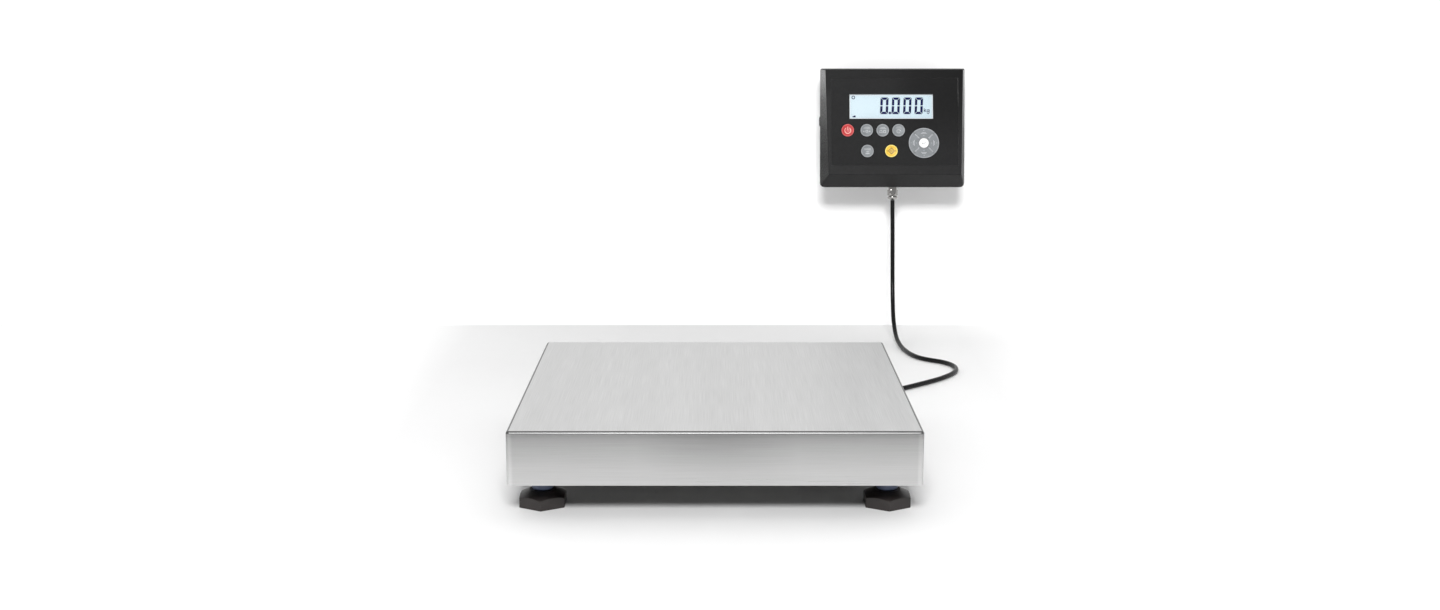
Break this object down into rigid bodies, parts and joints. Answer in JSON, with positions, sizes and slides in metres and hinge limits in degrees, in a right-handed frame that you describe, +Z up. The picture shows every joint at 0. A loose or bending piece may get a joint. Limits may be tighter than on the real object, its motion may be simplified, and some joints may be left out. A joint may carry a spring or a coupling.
{
  "type": "bench scale",
  "caption": "Bench scale: square stainless platter on a single-point load cell with screw feet, cabled to a keypad indicator with LCD on a tilting wall bracket.",
  "frame": {"origin": "on the bench, under the middle of the footprint of platform, indicator and wall bracket", "axes": "+X to the right, +Y from the front of the platter to the wall, +Z up"},
  "size_m": [0.5588, 0.912, 0.385],
  "materials": {
    "stainless": "brushed stainless steel",
    "zinc": "zinc-plated steel",
    "nickel": "nickel-plated brass",
    "aluminium": "machined aluminium",
    "base_coat": "black powder coat",
    "rubber": "black rubber",
    "foot_plastic": "black moulded nylon, slightly glossy edges",
    "collar_plastic": "blue-grey moulded plastic",
    "housing": "dark charcoal textured ABS",
    "overlay_film": "matt printed polyester film",
    "clear": "clear acrylic",
    "lcd": "backlit LCD, pale blue with dark blue segments",
    "board": "green circuit board",
    "battery": "blue shrink wrap",
    "key_grey": "grey key",
    "key_red": "red key",
    "key_yellow": "yellow key",
    "key_white": "white key",
    "cable_jacket": "black PVC jacket, soft sheen",
    "bubble": "yellow-green spirit level"
  },
  "bodies": {
    "base": {"base_frame": "base_coat", "load_cell": "aluminium", "lower_spacer": "zinc", "load_cell_bolt_1": "zinc", "load_cell_bolt_2": "zinc", "overload_stop_1": "zinc", "overload_stop_2": "zinc", "overload_stop_3": "zinc", "overload_stop_4": "zinc", "bubble_level_housing": "zinc", "bubble_level_vial": "bubble", "base_cable_gland": "nickel", "load_cell_lead": "cable_jacket", "load_cell_cable": "cable_jacket", "wall_bracket": "zinc"},
    "load_carrier": {"upper_spacer": "zinc", "load_cell_bolt_3": "zinc", "load_cell_bolt_4": "zinc", "load_frame": "base_coat", "bumper_1": "rubber", "bumper_2": "rubber", "bumper_3": "rubber", "bumper_4": "rubber"},
    "platter": {"platter": "stainless"},
    "indicator": {"front_shell": "housing", "rear_shell": "housing", "keypad_overlay": "overlay_film", "display_window": "clear", "lcd_module": "lcd", "keypad_circuit": "overlay_film", "main_board": "board", "battery_pack": "battery", "gland_body": "nickel", "gland_nut": "nickel", "power_socket": "rubber"},
    "tilt_knob_left": {"tilt_knob_left": "foot_plastic"},
    "tilt_knob_right": {"tilt_knob_right": "foot_plastic"},
    "foot_1_stud": {"foot_stud_1": "zinc"},
    "foot_1_pad": {"foot_pad_1": "foot_plastic", "foot_collar_1": "collar_plastic"},
    "foot_2_stud": {"foot_stud_2": "zinc"},
    "foot_2_pad": {"foot_pad_2": "foot_plastic", "foot_collar_2": "collar_plastic"},
    "foot_3_stud": {"foot_stud_3": "zinc"},
    "foot_3_pad": {"foot_pad_3": "foot_plastic", "foot_collar_3": "collar_plastic"},
    "foot_4_stud": {"foot_stud_4": "zinc"},
    "foot_4_pad": {"foot_pad_4": "foot_plastic", "foot_collar_4": "collar_plastic"},
    "key_power": {"key_power": "key_red"},
    "key_zero": {"key_zero": "key_grey"},
    "key_net": {"key_net": "key_grey"},
    "key_mode": {"key_mode": "key_grey"},
    "key_print": {"key_print": "key_grey"},
    "key_tare": {"key_tare": "key_yellow"},
    "key_enter": {"key_enter": "key_white"},
    "key_up": {"key_up": "key_grey"},
    "key_down": {"key_down": "key_grey"},
    "key_left": {"key_left": "key_grey"},
    "key_right": {"key_right": "key_grey"}
  },
  "joints": [
    {"name": "load_deflection", "type": "slide", "parent": "base", "child": "load_carrier", "axis": [0, 0, 1], "range_m": [-0.0006, 0], "stiffness_N_per_m": 300000, "springref_m": 0.00025, "deforming": ["load_cell"]},
    {"name": "platter_lift", "type": "slide", "parent": "load_carrier", "child": "platter", "axis": [0, 0, 1], "range_m": [0, 0.08]},
    {"name": "indicator_tilt", "type": "hinge", "parent": "base", "child": "indicator", "pos_m": [0.17535, 0.41444, 0.30898], "axis": [-1, 0, 0], "range_deg": [-24, 13], "deforming": ["load_cell_cable"]},
    {"name": "tilt_knob_left_turn", "type": "hinge", "parent": "indicator", "child": "tilt_knob_left", "pos_m": [0.17535, 0.41444, 0.30898], "axis": [-1, 0, 0], "range_deg": [0, 720]},
    {"name": "tilt_knob_right_turn", "type": "hinge", "parent": "indicator", "child": "tilt_knob_right", "pos_m": [0.17535, 0.41444, 0.30898], "axis": [1, 0, 0], "range_deg": [0, 720]},
    {"name": "foot_1_height", "type": "slide", "parent": "base", "child": "foot_1_stud", "axis": [0, 0, -1], "range_m": [-0.003, 0.006]},
    {"name": "foot_1_turn", "type": "hinge", "parent": "foot_1_stud", "child": "foot_1_pad", "pos_m": [-0.2494, -0.411, 0.008], "axis": [0, 0, -1], "range_deg": [-735, 1455]},
    {"name": "foot_2_height", "type": "slide", "parent": "base", "child": "foot_2_stud", "axis": [0, 0, -1], "range_m": [-0.003, 0.006]},
    {"name": "foot_2_turn", "type": "hinge", "parent": "foot_2_stud", "child": "foot_2_pad", "pos_m": [0.0906, -0.411, 0.008], "axis": [0, 0, -1], "range_deg": [-735, 1455]},
    {"name": "foot_3_height", "type": "slide", "parent": "base", "child": "foot_3_stud", "axis": [0, 0, -1], "range_m": [-0.003, 0.006]},
    {"name": "foot_3_turn", "type": "hinge", "parent": "foot_3_stud", "child": "foot_3_pad", "pos_m": [0.0906, -0.101, 0.008], "axis": [0, 0, -1], "range_deg": [-735, 1455]},
    {"name": "foot_4_height", "type": "slide", "parent": "base", "child": "foot_4_stud", "axis": [0, 0, -1], "range_m": [-0.003, 0.006]},
    {"name": "foot_4_turn", "type": "hinge", "parent": "foot_4_stud", "child": "foot_4_pad", "pos_m": [-0.2494, -0.101, 0.008], "axis": [0, 0, -1], "range_deg": [-735, 1455]},
    {"name": "key_power_press", "type": "slide", "parent": "indicator", "child": "key_power", "axis": [0, 0.9654, -0.2607], "range_m": [0, 0.0005], "stiffness_N_per_m": 600, "springref_m": -0.001},
    {"name": "key_zero_press", "type": "slide", "parent": "indicator", "child": "key_zero", "axis": [0, 0.9654, -0.2607], "range_m": [0, 0.0005], "stiffness_N_per_m": 600, "springref_m": -0.001},
    {"name": "key_net_press", "type": "slide", "parent": "indicator", "child": "key_net", "axis": [0, 0.9654, -0.2607], "range_m": [0, 0.0005], "stiffness_N_per_m": 600, "springref_m": -0.001},
    {"name": "key_mode_press", "type": "slide", "parent": "indicator", "child": "key_mode", "axis": [0, 0.9654, -0.2607], "range_m": [0, 0.0005], "stiffness_N_per_m": 600, "springref_m": -0.001},
    {"name": "key_print_press", "type": "slide", "parent": "indicator", "child": "key_print", "axis": [0, 0.9654, -0.2607], "range_m": [0, 0.0005], "stiffness_N_per_m": 600, "springref_m": -0.001},
    {"name": "key_tare_press", "type": "slide", "parent": "indicator", "child": "key_tare", "axis": [0, 0.9654, -0.2607], "range_m": [0, 0.0005], "stiffness_N_per_m": 600, "springref_m": -0.001},
    {"name": "key_enter_press", "type": "slide", "parent": "indicator", "child": "key_enter", "axis": [0, 0.9654, -0.2607], "range_m": [0, 0.0005], "stiffness_N_per_m": 600, "springref_m": -0.001},
    {"name": "key_up_press", "type": "slide", "parent": "indicator", "child": "key_up", "axis": [0, 0.9654, -0.2607], "range_m": [0, 0.0005], "stiffness_N_per_m": 600, "springref_m": -0.001},
    {"name": "key_down_press", "type": "slide", "parent": "indicator", "child": "key_down", "axis": [0, 0.9654, -0.2607], "range_m": [0, 0.0005], "stiffness_N_per_m": 600, "springref_m": -0.001},
    {"name": "key_left_press", "type": "slide", "parent": "indicator", "child": "key_left", "axis": [0, 0.9654, -0.2607], "range_m": [0, 0.0005], "stiffness_N_per_m": 600, "springref_m": -0.001},
    {"name": "key_right_press", "type": "slide", "parent": "indicator", "child": "key_right", "axis": [0, 0.9654, -0.2607], "range_m": [0, 0.0005], "stiffness_N_per_m": 600, "springref_m": -0.001}
  ],
  "couplings": [
    {"joint": "foot_1_turn", "follows": "foot_1_height", "rad_per_m": 4188.8},
    {"joint": "foot_2_turn", "follows": "foot_2_height", "rad_per_m": 4188.8},
    {"joint": "foot_3_turn", "follows": "foot_3_height", "rad_per_m": 4188.8},
    {"joint": "foot_4_turn", "follows": "foot_4_height", "rad_per_m": 4188.8}
  ]
}
